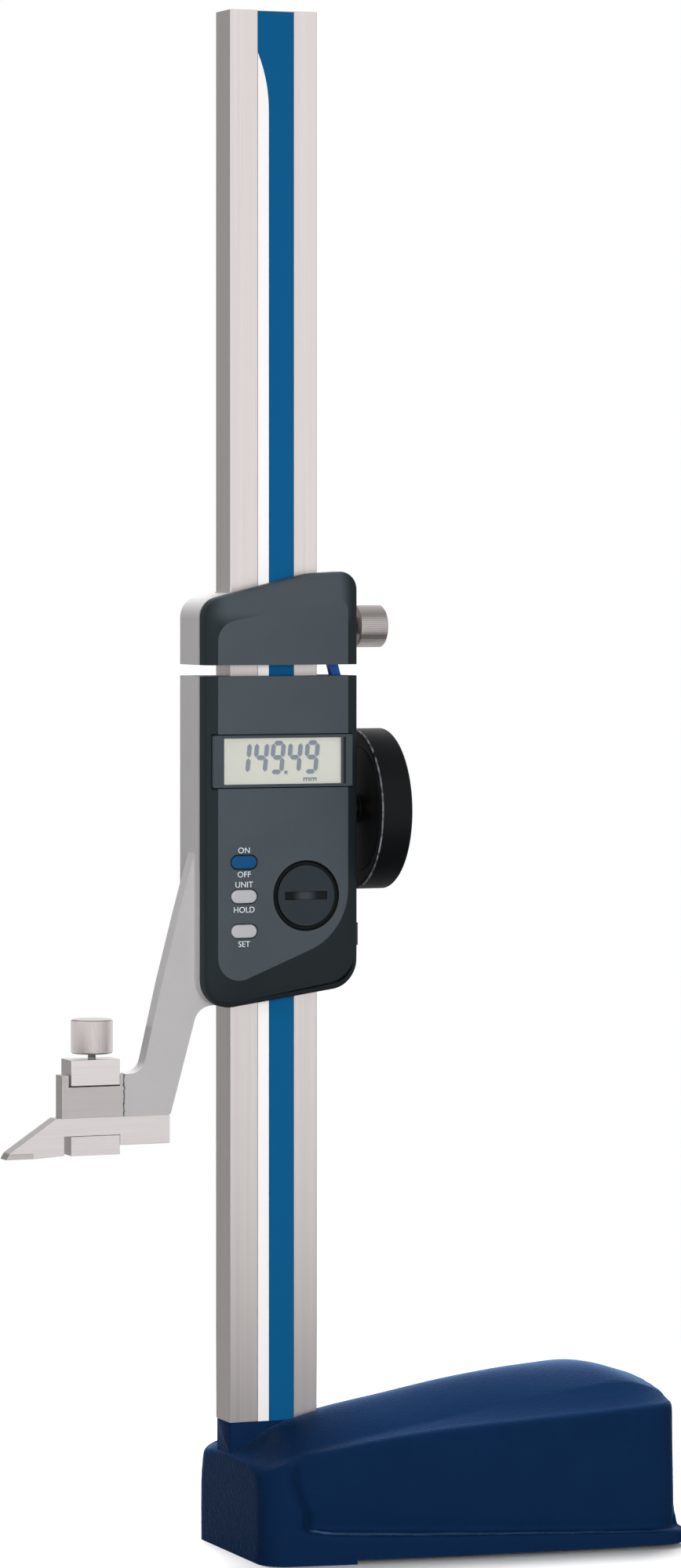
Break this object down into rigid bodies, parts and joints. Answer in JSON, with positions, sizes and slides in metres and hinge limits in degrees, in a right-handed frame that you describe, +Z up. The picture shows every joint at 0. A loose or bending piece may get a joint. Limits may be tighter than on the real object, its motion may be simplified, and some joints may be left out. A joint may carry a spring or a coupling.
{
  "type": "digital height gauge",
  "caption": "Free-standing digital height gauge: measuring slider with display and carbide scriber on a steel column, clamp carriage and handwheel fine feed, heavy painted base.",
  "frame": {"origin": "on the ground plane, at the axis of the column, on the underside of the base's front pad", "axes": "+Z up along the column, +X along the base away from the scriber, -Y is the display side, the scriber points along -X"},
  "size_m": [0.2516, 0.1114, 0.578],
  "materials": {
    "base_paint": "pebbled deep-blue paint",
    "ground_steel": "fine ground steel",
    "knob_steel": "satin, knurled rim",
    "dark_screws": "black oxide",
    "bright_hardware": "ground",
    "casting_paint": "light grey hammered paint",
    "cover_plastic": "dark blue-grey, fine grain",
    "key_blue": "smooth blue key",
    "key_grey": "smooth light grey key",
    "plate_aluminium": "stamped plate",
    "board_green": "solder mask",
    "film_blue": "printed blue and white film",
    "display_grey": "reflective liquid-crystal glass",
    "window_clear": "clear window",
    "bearing_brass": "turned brass",
    "spring_bronze": "spring bronze",
    "cell_steel": "nickel-plated can",
    "contact_rubber": "striped conductive rubber",
    "part_black": "moulded black",
    "wheel_black": "satin black",
    "link_blue": "blue-painted bar",
    "carbide_grey": "ground carbide"
  },
  "bodies": {
    "base": {"base_casting": "base_paint", "column": "ground_steel", "scale_tape": "board_green", "scale_film": "film_blue", "column_screws": "dark_screws", "column_pins": "bright_hardware"},
    "slider": {"slider_body": "casting_paint", "gib_strip": "bearing_brass", "gib_screws": "dark_screws", "front_plate": "plate_aluminium", "front_plate_screws": "bright_hardware", "reading_head": "board_green", "circuit_board": "board_green", "contact_strips": "contact_rubber", "key_switches": "part_black", "display_glass": "display_grey", "slider_cover": "cover_plastic", "cover_screws": "dark_screws", "display_bezel": "cover_plastic", "display_window": "window_clear", "battery": "cell_steel", "battery_contact": "spring_bronze", "data_connector": "part_black", "shaft_bushes": "bearing_brass"},
    "key_on": {"key_on": "key_blue"},
    "key_unit": {"key_unit": "key_grey"},
    "key_set": {"key_set": "key_grey"},
    "battery_cover": {"battery_cover": "cover_plastic"},
    "data_port_cover": {"data_port_cover": "cover_plastic"},
    "handwheel": {"handwheel": "wheel_black", "handwheel_shaft": "bright_hardware", "drive_pinion": "bearing_brass", "handwheel_screw": "dark_screws"},
    "carriage": {"clamp_body": "casting_paint", "carriage_plate": "plate_aluminium", "clamp_cover": "cover_plastic", "clamp_cover_screws": "dark_screws", "link_rack": "link_blue", "link_screw": "bright_hardware", "carriage_spring": "spring_bronze"},
    "clamp_shoe": {"clamp_shoe": "bearing_brass"},
    "clamp_screw": {"clamp_stud": "bright_hardware", "clamp_knob": "knob_steel"},
    "stirrup": {"scriber_clamp": "ground_steel"},
    "scriber": {"scriber": "ground_steel", "carbide_tip": "carbide_grey"},
    "scriber_screw": {"scriber_screw": "bright_hardware", "scriber_knob": "knob_steel"}
  },
  "joints": [
    {"name": "slider_travel", "type": "slide", "parent": "base", "child": "slider", "axis": [0, 0, 1], "range_m": [-0.14949, 0.20051]},
    {"name": "handwheel_turn", "type": "hinge", "parent": "slider", "child": "handwheel", "pos_m": [0.041, -0.0009, 0.27719], "axis": [1, 0, 0], "range_deg": [-114.5, 76.3]},
    {"name": "feed", "type": "slide", "parent": "slider", "child": "carriage", "axis": [0, 0, 1], "range_m": [-0.004, 0.006]},
    {"name": "clamp_shoe_slide", "type": "slide", "parent": "carriage", "child": "clamp_shoe", "axis": [1, 0, 0], "range_m": [0, 0.0008]},
    {"name": "clamp_turn", "type": "hinge", "parent": "clamp_shoe", "child": "clamp_screw", "pos_m": [0.0405, 0, 0.34629], "axis": [1, 0, 0], "range_deg": [0, 360]},
    {"name": "scriber_clamp_turn", "type": "hinge", "parent": "slider", "child": "scriber_screw", "pos_m": [-0.0696, 0.0004, 0.19399], "axis": [0, 0, 1], "range_deg": [0, 360]},
    {"name": "scriber_clamp_slide", "type": "slide", "parent": "slider", "child": "stirrup", "axis": [0, 0, 1], "range_m": [-0.0005, 0]},
    {"name": "scriber_slide", "type": "slide", "parent": "stirrup", "child": "scriber", "axis": [1, 0, 0], "range_m": [0, 0.0025]},
    {"name": "on_key_press", "type": "slide", "parent": "slider", "child": "key_on", "axis": [0, 1, 0], "range_m": [0, 0.0005], "stiffness_N_per_m": 400},
    {"name": "unit_key_press", "type": "slide", "parent": "slider", "child": "key_unit", "axis": [0, 1, 0], "range_m": [0, 0.0005], "stiffness_N_per_m": 400},
    {"name": "set_key_press", "type": "slide", "parent": "slider", "child": "key_set", "axis": [0, 1, 0], "range_m": [0, 0.0005], "stiffness_N_per_m": 400},
    {"name": "battery_cover_turn", "type": "hinge", "parent": "slider", "child": "battery_cover", "pos_m": [0.0095, -0.016, 0.24559], "axis": [0, -1, 0], "range_deg": [0, 45]},
    {"name": "data_port_slide", "type": "slide", "parent": "slider", "child": "data_port_cover", "axis": [1, 0, 0], "range_m": [0, 0.0045]}
  ],
  "couplings": [
    {"joint": "feed", "follows": "handwheel_turn", "m_per_rad": -0.003},
    {"joint": "clamp_turn", "follows": "clamp_shoe_slide", "rad_per_m": 7854},
    {"joint": "scriber_clamp_turn", "follows": "scriber_clamp_slide", "rad_per_m": -12566}
  ]
}
